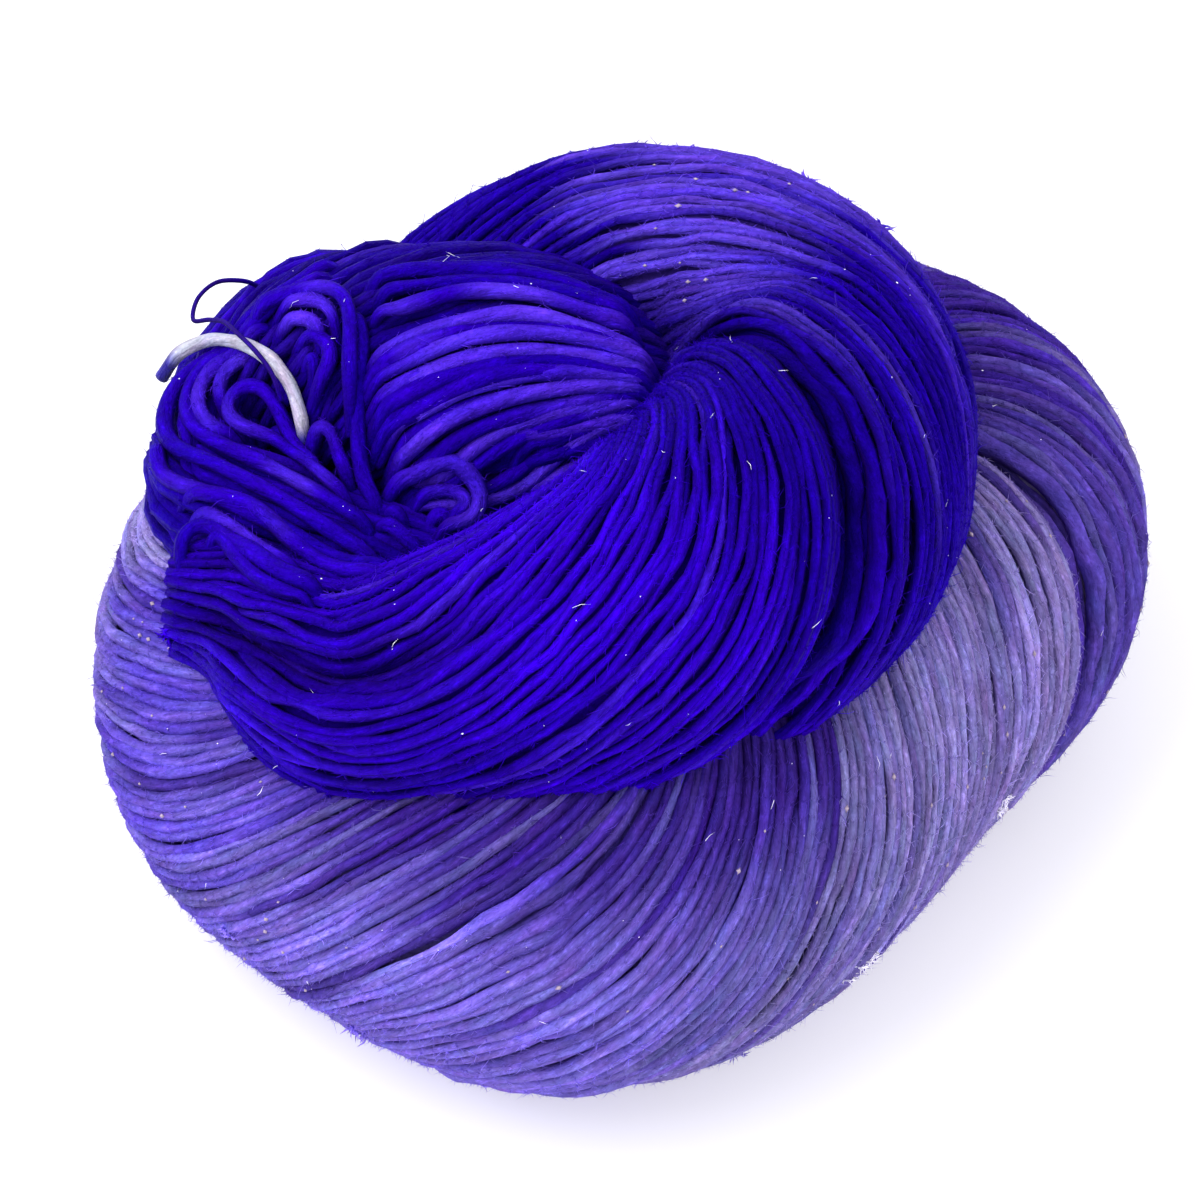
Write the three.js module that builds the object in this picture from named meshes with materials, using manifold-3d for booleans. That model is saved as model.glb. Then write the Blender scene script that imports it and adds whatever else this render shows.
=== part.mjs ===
// A hank of hand-dyed recycled silk yarn, twisted and coiled up like a turban.
// Millimetres, +Z up. The middle of the lower ring is the working origin, and the finished
// group is shifted so that the middle of the underside is the origin of the part.

import * as THREE from 'three';
import { mergeVertices } from 'three/addons/utils/BufferGeometryUtils.js';
import Module from 'manifold-3d';

// ---- driving dimensions -------------------------------------------------------------

const MIDDLE = { x: 0.43, y: 1.45 }; // middle of the hank's outline, seen from above
const SIDES = 36; // facets round a thick bundle
const THIN_SIDES = 20; // facets round a thin bundle
const STEPS_PER_ROW = 3; // sections between two rows of a table
const TURN_SLICES = 24; // slices between two rows over which the twist is added up
const NEARBY = 0.01; // share of a row that gives a section its direction
const WELD = 1e-4; // vertices nearer than this are one

const TIE = { diameter: 1.8, steps: 28 }; // undyed yarn round the looped end
const THREAD = { diameter: 0.6, steps: 36 }; // dark end of sewing thread
const CORD_SIDES = 8; // facets round a tie or thread
const GAP = 0.35; // space kept between two pieces
const CUT = { size: 200, depth: 40 }; // block that cuts the underside flat

// Each row is a section of a bundle: its middle, its half-widths outwards, inwards, up and
// down as the bundle runs, and the twist of the yarns there in degrees for each millimetre.
const COLUMNS = ['x', 'y', 'z', 'out', 'inn', 'up', 'down', 'twist'];

// The long bundle: its looped end at the left, once round on top, then once round below.
const COIL = [
  [-55, -14, 51, 5, 5, 9, 9, 0.0],
  [-46, -17, 51, 9, 8, 12, 10, 0.4],
  [-32, -25, 50, 16, 9, 15, 14, 1.2],
  [-16, -25, 54, 19, 11, 18, 18, 2.2],
  [2, -20, 58, 23, 16, 21, 22, 3.0],
  [16, -8, 59, 24, 18, 24, 22, 3.8],
  [22, 9, 59, 21, 18, 23, 22, 3.8],
  [15, 24, 59, 20, 18, 22, 22, 3.8],
  [-1, 31, 57, 19, 17, 20, 21, 3.8],
  [-17, 29, 50, 19, 16, 19, 21, 3.4],
  [-32, 20, 38, 20, 18, 20, 22, 3.2],
  [-43, 5, 27, 24, 22, 25, 28, 3.1],
  [-40, -14, 25, 26, 22, 26, 28, 3.1],
  [-25, -29, 25, 26, 22, 26, 28, 3.1],
  [-6, -37, 25, 26, 22, 26, 28, 3.1],
  [13, -30, 25, 23, 22, 26, 28, 3.1],
  [30, -11, 27, 22, 22, 25, 30, 3.1],
  [44, 10, 27, 24, 22, 25, 30, 3.1],
  [42, 28, 27, 24, 22, 25, 30, 3.1],
  [25, 40, 25, 24, 22, 25, 28, 3.1],
  [4, 41, 24, 22, 20, 22, 26, 3.1],
  [-12, 32, 22, 17, 15, 17, 22, 3.1],
  [-24, 22, 20, 9, 9, 9, 12, 3.1],
];
// Stretches of the long bundle that don't cross themselves, by row number.
const COIL_STRETCHES = [
  { from: 0, to: 10.5 },
  { from: 10, to: 16.5 },
  { from: 16, to: 22 },
];
const JOIN = 0.5; // rows over which two stretches run inside each other
const JOIN_SHRINK = 0.06; // share of its size that a stretch loses where it joins

// Creases between the lobes of the twist: each follows the yarns at one phase.
const CREASES = [
  { phase: 288, depth: 0.2, width: 11, from: 3.4, to: 7.5 },
  { phase: 60, depth: 0.08, width: 10, from: 6, to: 12 },
  { phase: 328, depth: 0.15, width: 8, from: 12.5, to: 17 },
  { phase: 205, depth: 0.17, width: 9, from: 15.2, to: 19.5 },
];
const CREASE_FADE = 0.8; // rows over which a crease grows to its full depth

// The other leg of the looped end lies on top and dives into the middle of the coil.
const CROWN = [
  [10, 4, 36, 9, 9, 9, 9, 1.0],
  [4, 9, 50, 13, 12, 13, 13, 1.0],
  [-8, 11, 60, 17, 15, 16, 16, 1.6],
  [-22, 12, 62, 18, 17, 17, 16, 2.6],
  [-36, 14, 60, 17, 16, 15, 15, 2.6],
  [-47, 13, 57, 12, 10, 10, 10, 1.5],
  [-53, 10, 55, 5, 5, 5, 5, 0.0],
];
// Yarns that run from the looped end down between the two legs.
const FOLD = [
  [-56, 6, 55, 5, 5, 7, 8, 0.0],
  [-50, -2, 56, 10, 8, 9, 10, 0.3],
  [-39, -8, 55, 10, 8, 10, 10, 0.3],
  [-26, -13, 53, 9, 8, 9, 10, 0.3],
  [-14, -17, 48, 6, 6, 6, 8, 0.3],
];
// The bights that join the legs, round the left end.
const BIGHTS = [
  [-26, 26, 58, 6, 8, 10, 8, 0.0],
  [-38, 26, 58, 9, 10, 11, 8, 0.0],
  [-47, 19, 57, 8, 10, 10, 8, 0.0],
  [-51, 9, 56, 8, 10, 10, 8, 0.0],
  [-51, -3, 55, 7, 9, 9, 8, 0.0],
  [-48, -12, 53, 5, 6, 6, 6, 0.0],
];
// The tucked-in end, which lies across the middle of the ring under the crown.
const TAIL = [
  [-24, 8, 14, 12, 12, 12, 16, 0.0],
  [-9, 4, 16, 21, 21, 22, 18, 0.0],
  [9, 2, 16, 21, 21, 22, 18, 0.0],
  [24, 0, 14, 12, 12, 12, 16, 0.0],
];

// Routes of the two ties, over the bights and down between the legs: x, y, z.
const TIE_ROUTE = [
  [-57.6, 12.2, 62.5],
  [-55.0, 12.6, 66.4],
  [-51.5, 13.4, 67.8],
  [-48.6, 12.0, 69.2],
  [-45.8, 9.4, 70.8],
  [-42.9, 6.4, 71.5],
  [-40.5, 3.2, 70.6],
  [-39.3, 0.5, 68.2],
  [-38.9, -0.8, 64.8],
];
const THREAD_ROUTE = [
  [-45.6, 24.0, 66.4],
  [-47.6, 23.0, 68.6],
  [-50.9, 22.6, 68.8],
  [-53.2, 20.6, 68.0],
  [-53.6, 17.4, 67.4],
  [-51.4, 16.0, 68.8],
  [-49.2, 13.6, 70.8],
  [-47.0, 10.2, 72.0],
  [-44.6, 6.6, 72.7],
  [-42.6, 3.6, 72.1],
  [-41.4, 1.0, 70.0],
];

// ---- helpers ------------------------------------------------------------------------

const wasm = await Module();
wasm.setup();

/** Smooth value of a table's columns at row number t, as a uniform Catmull-Rom spline. */
function rowAt(table, t) {
  const last = table.length - 1;
  const i = Math.min(Math.floor(t), last - 1);
  const f = t - i;
  const row = (k) => {
    if (k < 0) return table[0].map((v, c) => 2 * v - table[1][c]);
    if (k > last) return table[last].map((v, c) => 2 * v - table[last - 1][c]);
    return table[k];
  };
  const [a, b, c, d] = [row(i - 1), row(i), row(i + 1), row(i + 2)];
  const values = b.map((_, k) => (2 * b[k] + (c[k] - a[k]) * f
    + (2 * a[k] - 5 * b[k] + 4 * c[k] - d[k]) * f ** 2
    + (3 * b[k] - a[k] - 3 * c[k] + d[k]) * f ** 3) / 2);
  return Object.fromEntries(COLUMNS.map((name, k) => [name, values[k]]));
}

/** Turn of the yarns, in radians, from the first row to row number t. */
function turnAt(table, t) {
  const slices = Math.max(1, Math.ceil(t * TURN_SLICES));
  let turn = 0;
  let before = rowAt(table, 0);
  for (let k = 1; k <= slices; k += 1) {
    const here = rowAt(table, (t * k) / slices);
    const length = Math.hypot(here.x - before.x, here.y - before.y, here.z - before.z);
    turn += THREE.MathUtils.degToRad((here.twist + before.twist) / 2) * length;
    before = here;
  }
  return turn;
}

/** Share of the full radius that the creases leave at phase psi, in degrees, at row t. */
function creaseFactor(creases, psi, t) {
  let factor = 1;
  for (const crease of creases) {
    const away = THREE.MathUtils.euclideanModulo(psi - crease.phase + 180, 360) - 180;
    const rise = THREE.MathUtils.clamp((t - crease.from) / CREASE_FADE, 0, 1);
    const fall = THREE.MathUtils.clamp((crease.to - t) / CREASE_FADE, 0, 1);
    factor -= crease.depth * rise * fall * Math.exp(-((away / crease.width) ** 2));
  }
  return factor;
}

/** Points of one section, an egg of four quarters; the facets follow the yarns' twist. */
function section(table, t, sides, creases, scale) {
  const here = rowAt(table, t);
  const ahead = rowAt(table, Math.min(t + NEARBY, table.length - 1));
  const behind = rowAt(table, Math.max(t - NEARBY, 0));
  const along = new THREE.Vector3(ahead.x - behind.x, ahead.y - behind.y, ahead.z - behind.z);
  along.normalize();
  const outward = along.clone().cross(new THREE.Vector3(0, 0, 1)).normalize();
  const upward = outward.clone().cross(along);
  const turn = turnAt(table, t);
  const points = [];
  for (let k = 0; k < sides; k += 1) {
    const psi = (2 * Math.PI * k) / sides;
    const phi = psi + turn;
    const size = scale * creaseFactor(creases, THREE.MathUtils.radToDeg(psi), t);
    const wide = size * Math.cos(phi) * (Math.cos(phi) > 0 ? here.out : here.inn);
    const high = size * Math.sin(phi) * (Math.sin(phi) > 0 ? here.up : here.down);
    const point = new THREE.Vector3(here.x, here.y, here.z);
    point.addScaledVector(outward, wide).addScaledVector(upward, high);
    points.push(point);
  }
  return points;
}

/** Closed solid through rings of points, with a fan over each end. Each four-sided cell is
 *  split along its shorter diagonal. */
function loft(rings) {
  const sides = rings[0].length;
  const middle = (ring) => ring.reduce((sum, p) => sum.add(p), new THREE.Vector3())
    .divideScalar(sides);
  const vertices = [...rings.flat(), middle(rings[0]), middle(rings[rings.length - 1])];
  const first = vertices.length - 2;
  const last = vertices.length - 1;
  const base = (rings.length - 1) * sides;
  const index = [];
  for (let k = 0; k < sides; k += 1) {
    const next = (k + 1) % sides;
    for (let r = 0; r < rings.length - 1; r += 1) {
      const [a, b] = [r * sides + k, r * sides + next];
      const [c, d] = [a + sides, b + sides];
      if (vertices[a].distanceTo(vertices[d]) < vertices[b].distanceTo(vertices[c])) {
        index.push(a, d, b, a, c, d);
      } else {
        index.push(a, c, b, b, c, d);
      }
    }
    index.push(first, k, next);
    index.push(last, base + next, base + k);
  }
  const geometry = new THREE.BufferGeometry();
  geometry.setAttribute('position', new THREE.Float32BufferAttribute(
    vertices.flatMap((p) => p.toArray()), 3));
  geometry.setIndex(index);
  return geometry;
}

/** One bundle between two row numbers. Where it stops short of the table's end it narrows
 *  a little, so that it runs inside its neighbour. */
function bundle(table, {
  from = 0, to = table.length - 1, sides = THIN_SIDES, creases = [],
} = {}) {
  const steps = Math.round((to - from) * STEPS_PER_ROW);
  const rings = [];
  for (let k = 0; k <= steps; k += 1) {
    const t = from + ((to - from) * k) / steps;
    const start = from > 0 ? Math.max(0, 1 - (t - from) / JOIN) : 0;
    const end = to < table.length - 1 ? Math.max(0, 1 - (to - t) / JOIN) : 0;
    rings.push(section(table, t, sides, creases, 1 - JOIN_SHRINK * Math.max(start, end)));
  }
  return loft(rings);
}

/** A three.js geometry as a manifold solid. */
function toSolid(geometry) {
  const plain = geometry.clone();
  plain.deleteAttribute('normal');
  plain.deleteAttribute('uv');
  const merged = mergeVertices(plain, WELD);
  return new wasm.Manifold(new wasm.Mesh({
    numProp: 3,
    vertProperties: new Float32Array(merged.attributes.position.array),
    triVerts: new Uint32Array(merged.index.array),
  }));
}

/** A manifold solid as a three.js geometry. */
function toGeometry(solid) {
  const { vertProperties, triVerts } = solid.getMesh();
  const geometry = new THREE.BufferGeometry();
  geometry.setAttribute('position', new THREE.Float32BufferAttribute(vertProperties, 3));
  geometry.setIndex([...triVerts]);
  return geometry;
}

/** A round cord along a route; grow widens and lengthens it, to cut its bed. */
function cord(route, { diameter, steps }, grow = 0) {
  const points = route.map((p) => new THREE.Vector3(...p));
  const reach = (end, inner) => end.clone().sub(inner).setLength(grow).add(end);
  points.unshift(reach(points[0], points[1]));
  points.push(reach(points[points.length - 1], points[points.length - 2]));
  const path = new THREE.CatmullRomCurve3(grow > 0 ? points : points.slice(1, -1));
  const radius = diameter / 2 + grow;
  const corners = Array.from({ length: CORD_SIDES }, (_, k) => {
    const angle = (2 * Math.PI * k) / CORD_SIDES;
    return new THREE.Vector2(radius * Math.cos(angle), radius * Math.sin(angle));
  });
  return new THREE.ExtrudeGeometry(new THREE.Shape(corners), {
    steps, bevelEnabled: false, extrudePath: path,
  });
}

// ---- the pieces ---------------------------------------------------------------------

/** The wound yarn: all bundles joined, cut flat below, with a bed for each tie. */
function hank() {
  const bundles = COIL_STRETCHES.map((stretch) => bundle(
    COIL, { ...stretch, sides: SIDES, creases: CREASES }));
  bundles.push(...[CROWN, FOLD, BIGHTS, TAIL].map((table) => bundle(table)));
  const wound = bundles.map(toSolid).reduce((sum, solid) => sum.add(solid));
  const floor = new THREE.BoxGeometry(CUT.size, CUT.size, CUT.depth);
  floor.translate(0, 0, -CUT.depth / 2);
  const beds = [cord(TIE_ROUTE, TIE, GAP), cord(THREAD_ROUTE, THREAD, GAP)];
  return toGeometry([floor, ...beds].map(toSolid).reduce(
    (rest, solid) => rest.subtract(solid), wound));
}

function piece(name, geometry, color, roughness) {
  const material = new THREE.MeshStandardMaterial({ color, roughness, metalness: 0 });
  const mesh = new THREE.Mesh(geometry, material);
  mesh.name = name;
  return mesh;
}

const group = new THREE.Group();
group.add(piece('hank', hank(), 0x3a23b8, 0.7));
group.add(piece('tie_yarn', cord(TIE_ROUTE, TIE), 0xd9d5e6, 0.8));
group.add(piece('tie_thread', cord(THREAD_ROUTE, THREAD), 0x1c0c6e, 0.7));
group.position.set(-MIDDLE.x, -MIDDLE.y, 0);

export default group;
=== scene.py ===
# %% [markdown]
# # A hank of hand-dyed recycled silk yarn
# The real thing is one long yarn, wound into a loop, dyed, twisted tight and coiled up on
# itself like a turban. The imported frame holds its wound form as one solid. This lesson lays
# the yarns over that form, turn by turn, and gives them their dye, fibres and fuzz.

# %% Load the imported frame
import math

import bpy
import numpy as np
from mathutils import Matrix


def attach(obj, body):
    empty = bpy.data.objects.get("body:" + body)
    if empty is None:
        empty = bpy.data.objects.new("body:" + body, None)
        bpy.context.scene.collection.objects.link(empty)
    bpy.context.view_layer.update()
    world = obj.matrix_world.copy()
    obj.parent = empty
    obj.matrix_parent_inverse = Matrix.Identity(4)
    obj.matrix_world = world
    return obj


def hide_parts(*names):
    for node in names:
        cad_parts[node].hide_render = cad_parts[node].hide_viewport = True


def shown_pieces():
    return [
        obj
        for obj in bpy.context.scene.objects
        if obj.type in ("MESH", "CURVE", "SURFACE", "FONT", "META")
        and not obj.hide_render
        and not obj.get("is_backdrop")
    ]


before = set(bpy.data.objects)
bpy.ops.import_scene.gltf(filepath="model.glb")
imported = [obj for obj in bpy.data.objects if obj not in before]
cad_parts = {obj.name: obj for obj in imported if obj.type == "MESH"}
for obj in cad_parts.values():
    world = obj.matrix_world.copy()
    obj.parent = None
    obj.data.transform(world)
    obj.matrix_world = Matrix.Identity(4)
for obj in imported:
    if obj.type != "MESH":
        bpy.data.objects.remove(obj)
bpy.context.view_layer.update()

# %% [markdown]
# ## Camera and lights
# The hank lies in a bright, soft studio: one large light stands high at the left, a weak one
# at the front right lifts its shadow, and the white world around gives the rest. The camera
# looks down from the front through a long lens. It comes first, because the ties are
# measured against what it sees.

# %% Camera and lights
MM = 0.001
MIDDLE = np.array([0.43, 1.45, 0.0])  # middle of the outline, in the tables' millimetres

# elevation in degrees, power in watts, all else in millimetres
CAMERA = {"elevation": 50.0, "distance": 420.0, "lens": 98.0, "target": (-3.1, 0.0, 34.0)}
KEY = {"place": (-290, -60, 480), "size": 440, "power": 2.15}
FILL = {"place": (380, -360, 340), "size": 500, "power": 0.25}
SKY_STRENGTH = 1.2
LIGHTS_AIM = (0.0, 0.0, 0.03)  # metres


def to_metres(points):
    """Table millimetres to metres in the CAD frame: the middle goes to the origin."""
    return (np.asarray(points, float) - MIDDLE) * MM


def aim(obj, place, target):
    """Puts obj at place and turns its -Z axis to target, both in metres."""
    way = np.asarray(target) - np.asarray(place)
    flat = math.hypot(way[0], way[1])
    obj.location = place
    obj.rotation_euler = (math.atan2(flat, -way[2]), 0.0, math.atan2(-way[0], way[1]))


def add_camera():
    """A camera as far from its target as CAMERA says, and turned down by its elevation."""
    tilt = math.radians(CAMERA["elevation"])
    target = np.array(CAMERA["target"])
    back = np.array([0.0, -math.cos(tilt), math.sin(tilt)])
    data = bpy.data.cameras.new("camera")
    data.lens = CAMERA["lens"]
    data.sensor_width = 36.0
    data.clip_start = 0.01
    camera = bpy.data.objects.new("camera", data)
    bpy.context.scene.collection.objects.link(camera)
    aim(camera, to_metres(target + CAMERA["distance"] * back), to_metres(target))
    bpy.context.scene.camera = camera


def add_light(name, lamp):
    """A round, soft light that faces the hank."""
    data = bpy.data.lights.new(name, "AREA")
    data.shape = "DISK"
    data.size = lamp["size"] * MM
    data.energy = lamp["power"]
    light = bpy.data.objects.new(name, data)
    bpy.context.scene.collection.objects.link(light)
    aim(light, np.array(lamp["place"]) * MM, LIGHTS_AIM)


add_camera()
add_light("key_light", KEY)
add_light("fill_light", FILL)
world = bpy.data.worlds.new("studio")
world.use_nodes = True
sky = world.node_tree.nodes["Background"].inputs
sky["Color"].default_value = (1.0, 1.0, 1.0, 1.0)
sky["Strength"].default_value = SKY_STRENGTH
bpy.context.scene.world = world
bpy.context.scene.view_settings.view_transform = "Standard"
print("camera and lights are in place")

# %% [markdown]
# ## The bundles
# A bundle is a thick strand of many yarns. Each row of its table is one section: where its
# middle is, how far it reaches outwards, inwards, up and down as it runs, and how fast its
# yarns turn round it there, in degrees for each millimetre. The sections are those of the
# CAD solid, in millimetres; only the small pad, which fills the groove in front of the
# crown, isn't in the solid. The twist of the coil and the crown differs from the solid's:
# the coil's yarns turn tightest round its two right-hand bends, and lie slack over the back
# of the upper turn.

# %% Tables of the bundles
# x, y, z, out, in, up, down, twist
COIL = [
    (-55, -14, 51, 5, 5, 9, 9, 1.5),
    (-46, -17, 51, 9, 8, 12, 10, 1.5),
    (-32, -25, 50, 16, 9, 15, 14, 0.5),
    (-16, -25, 54, 19, 11, 18, 18, 1.5),
    (2, -20, 58, 23, 16, 21, 22, 3.0),
    (16, -8, 59, 24, 18, 24, 22, 5.5),
    (22, 9, 59, 21, 18, 23, 22, 4.5),
    (15, 24, 59, 20, 18, 22, 22, 1.0),
    (-1, 31, 57, 19, 17, 20, 21, 1.0),
    (-17, 29, 50, 19, 16, 19, 21, 1.0),
    (-32, 20, 38, 20, 18, 20, 22, 1.5),
    (-43, 5, 27, 24, 22, 25, 28, 2.0),
    (-40, -14, 25, 26, 22, 26, 28, 3.0),
    (-25, -29, 25, 26, 22, 26, 28, 3.5),
    (-6, -37, 25, 26, 22, 26, 28, 3.5),
    (13, -30, 25, 23, 22, 26, 28, 4.0),
    (30, -11, 27, 22, 22, 25, 30, 5.5),
    (44, 10, 27, 24, 22, 25, 30, 8.5),
    (42, 28, 27, 24, 22, 25, 30, 9.0),
    (25, 40, 25, 24, 22, 25, 28, 5.0),
    (4, 41, 24, 22, 20, 22, 26, 3.0),
    (-12, 32, 22, 17, 15, 17, 22, 3.0),
    (-24, 22, 20, 9, 9, 9, 12, 3.0),
]
CROWN = [
    (10, 4, 36, 9, 9, 9, 9, 1.0),
    (4, 9, 50, 13, 12, 13, 13, 1.0),
    (-8, 11, 60, 17, 15, 16, 16, 1.2),
    (-22, 12, 62, 18, 17, 17, 16, 2.4),
    (-36, 14, 60, 17, 16, 15, 15, 3.4),
    (-47, 13, 57, 12, 10, 10, 10, 3.0),
    (-53, 10, 55, 5, 5, 5, 5, 2.0),
]
FOLD = [
    (-56, 6, 55, 5, 5, 7, 8, 0.0),
    (-50, -2, 56, 10, 8, 9, 10, 0.3),
    (-39, -8, 55, 10, 8, 10, 10, 0.3),
    (-26, -13, 53, 9, 8, 9, 10, 0.3),
    (-14, -17, 48, 6, 6, 6, 8, 0.3),
]
BIGHTS = [
    (-26, 26, 58, 6, 8, 10, 8, 0.0),
    (-38, 26, 58, 9, 10, 11, 8, 0.0),
    (-47, 19, 57, 8, 10, 10, 8, 0.0),
    (-51, 9, 56, 8, 10, 10, 8, 0.0),
    (-51, -3, 55, 7, 9, 9, 8, 0.0),
    (-48, -12, 53, 5, 6, 6, 6, 0.0),
]
PAD = [
    (-36, -6, 56, 4, 4, 4, 5, 0.0),
    (-27, -8, 54, 7, 7, 7, 8, 0.5),
    (-16, -8, 53, 7, 7, 7, 8, 0.5),
    (-6, -5, 53, 6, 6, 7, 8, 0.5),
    (2, 0, 55, 5, 5, 6, 8, 0.0),
]
TAIL = [
    (-24, 8, 14, 12, 12, 12, 16, 0.0),
    (-9, 4, 16, 21, 21, 22, 18, 0.0),
    (9, 2, 16, 21, 21, 22, 18, 0.0),
    (24, 0, 14, 12, 12, 12, 16, 0.0),
]
print("rows of the coil's table:", len(COIL))

# %% Routes of the ties
# The tie and the thin thread beside it, through the points of the CAD's cords: x, y, z.
TIE_ROUTE = [
    (-57.6, 12.2, 62.5), (-55.0, 12.6, 66.4), (-51.5, 13.4, 67.8), (-48.6, 12.0, 69.2),
    (-45.8, 9.4, 70.8), (-42.9, 6.4, 71.5), (-40.5, 3.2, 70.6), (-39.3, 0.5, 68.2),
    (-38.9, -0.8, 64.8),
]
THREAD_ROUTE = [
    (-45.6, 24.0, 66.4), (-47.6, 23.0, 68.6), (-50.9, 22.6, 68.8), (-53.2, 20.6, 68.0),
    (-53.6, 17.4, 67.4), (-51.4, 16.0, 68.8), (-49.2, 13.6, 70.8), (-47.0, 10.2, 72.0),
    (-44.6, 6.6, 72.7), (-42.6, 3.6, 72.1), (-41.4, 1.0, 70.0),
]
print("points of the tie and of the thread:", len(TIE_ROUTE), len(THREAD_ROUTE))

# %% [markdown]
# ## The creases
# A hank that is twisted hard splits into lobes, and between two lobes runs a crease. It
# runs with the yarns, so it keeps one phase, and its rows say where it shows. The solid has
# four creases, and the yarns have these five.

# %% Creases between the lobes
# Phase and width in degrees, depth as a share of the radius, and the rows between which
# each one shows.
LOBE_EDGE = 186  # the crease between the two lobes of the lower turn's right bend
FRONT_EDGE = 72  # the line where the lower turn's dark front lobe meets its pale right one
CREASES = [
    {"phase": 20, "depth": 0.3, "width": 10, "from": 0.4, "to": 3.2},
    {"phase": 250, "depth": 0.25, "width": 11, "from": 3.4, "to": 7.5},
    {"phase": 60, "depth": 0.08, "width": 10, "from": 6.0, "to": 12.0},
    {"phase": FRONT_EDGE, "depth": 0.04, "width": 12, "from": 12.5, "to": 16.0},
    {"phase": LOBE_EDGE, "depth": 0.34, "width": 11, "from": 16.2, "to": 19.5},
]
CREASE_FADE = 0.8  # rows over which a crease grows to its full depth
print("creases:", len(CREASES))

# %% [markdown]
# ## A bundle's surface
# The yarns run along a bundle and turn round it, so two numbers name any place on it: how
# far along it is, as a row number t, and which yarn it is on, as a phase psi. The surface
# is a formula in these two. A smooth curve through the table's rows gives the section at t,
# and the turn so far is added to the phase.

# %% Helpers for curves
def unit(vectors):
    """Vectors divided by their own lengths."""
    return vectors / np.linalg.norm(vectors, axis=-1, keepdims=True)


def square_to(along, across):
    """across without its share along the unit vectors along."""
    return across - along * (across * along).sum(-1, keepdims=True)


def run_of(paths):
    """Distance along each path from its first point to each of its points."""
    steps = np.linalg.norm(np.diff(paths, axis=-2), axis=-1)
    return np.concatenate([np.zeros(steps.shape[:-1] + (1,)), np.cumsum(steps, axis=-1)], axis=-1)


def spline(rows, t):
    """Uniform Catmull-Rom curve through rows of numbers, at row numbers t."""
    rows = np.asarray(rows, float)
    ends = np.concatenate([2 * rows[:1] - rows[1:2], rows, 2 * rows[-1:] - rows[-2:-1]])
    i = np.clip(np.floor(t).astype(int), 0, len(rows) - 2)
    f = (t - i)[:, None]
    a, b, c, d = ends[i], ends[i + 1], ends[i + 2], ends[i + 3]
    cubic = (3 * b - a - 3 * c + d) * f ** 3
    return (2 * b + (c - a) * f + (2 * a - 5 * b + 4 * c - d) * f ** 2 + cubic) / 2


def smoothstep(low, high, x):
    """0 below low, 1 above high, and an S-curve between."""
    f = np.clip((x - low) / (high - low), 0.0, 1.0)
    return f * f * (3 - 2 * f)


def between(first, full, fading, last, x):
    """0 up to first, 1 from full to fading, 0 from last on, and S-curves between."""
    return smoothstep(first, full, x) * (1 - smoothstep(fading, last, x))


print("halfway up the S-curve:", smoothstep(0.0, 1.0, 0.5))

# %% A bundle as a function of row and phase
SAMPLES_PER_ROW = 40


class Bundle:
    """A bundle's surface. At row number t and phase psi a yarn sits at angle psi plus the
    turn so far, on an egg whose four quarters have the row's half-widths."""

    def __init__(self, rows, creases=()):
        self.last = len(rows) - 1
        self.creases = creases
        self.t = np.linspace(0, self.last, self.last * SAMPLES_PER_ROW + 1)
        values = spline(rows, self.t)
        centre = values[:, :3]
        along = unit(np.gradient(centre, axis=0))
        outward = unit(np.cross(along, (0.0, 0.0, 1.0)))
        upward = np.cross(outward, along)
        steps = np.linalg.norm(np.diff(centre, axis=0), axis=1)
        self.length = steps.sum()
        twist = np.radians(values[:, 7])
        turns = np.cumsum((twist[1:] + twist[:-1]) / 2 * steps)
        self.turn = np.concatenate([[0.0], turns])
        self.table = np.column_stack([values[:, :7], outward, upward])

    def turn_at(self, t):
        """Radians that the yarns have turned round the bundle up to row number t."""
        return np.interp(t, self.t, self.turn)

    def crease(self, t, psi):
        """Share of the radius that the creases leave."""
        left = np.ones(np.broadcast(t, psi).shape)
        for one in self.creases:
            away = (np.degrees(psi) - one["phase"] + 180) % 360 - 180
            shown = np.clip((t - one["from"]) / CREASE_FADE, 0, 1)
            shown = shown * np.clip((one["to"] - t) / CREASE_FADE, 0, 1)
            left = left - one["depth"] * shown * np.exp(-((away / one["width"]) ** 2))
        return left

    def at(self, t, psi, depth=0.0, floor=0.0):
        """Points depth millimetres under the surface, none lower than floor, and the
        directions that face out of the bundle there."""
        t, psi = np.broadcast_arrays(t, psi)
        row = np.stack([np.interp(t, self.t, column) for column in self.table.T], axis=-1)
        out, inn, up, down = (row[..., k] for k in range(3, 7))
        outward, upward = row[..., 7:10], row[..., 10:13]
        phi = psi + self.turn_at(t)
        cos, sin = np.cos(phi), np.sin(phi)
        left = self.crease(t, psi)
        wide = np.where(cos > 0, out, inn) * left - depth
        high = np.where(sin > 0, up, down) * left - depth
        point = row[..., :3] + outward * (wide * cos)[..., None] + upward * (high * sin)[..., None]
        facing = unit(outward * (cos * high)[..., None] + upward * (sin * wide)[..., None])
        point[..., 2] = np.maximum(point[..., 2], floor)
        return point, facing


coil = Bundle(COIL, CREASES)
crown = Bundle(CROWN)
fold = Bundle(FOLD)
bights = Bundle(BIGHTS)
pad = Bundle(PAD)
tail = Bundle(TAIL)
print("coil bundle is", round(coil.length), "mm long")

# %% [markdown]
# ## From paths to yarns
# A yarn is a tube round a path. All the tubes of a piece are worked out together: one array
# holds every path, one every radius, and the rings of points follow from both. Each end is
# closed. The tube's own map runs along it in millimetres and once round it.

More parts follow.
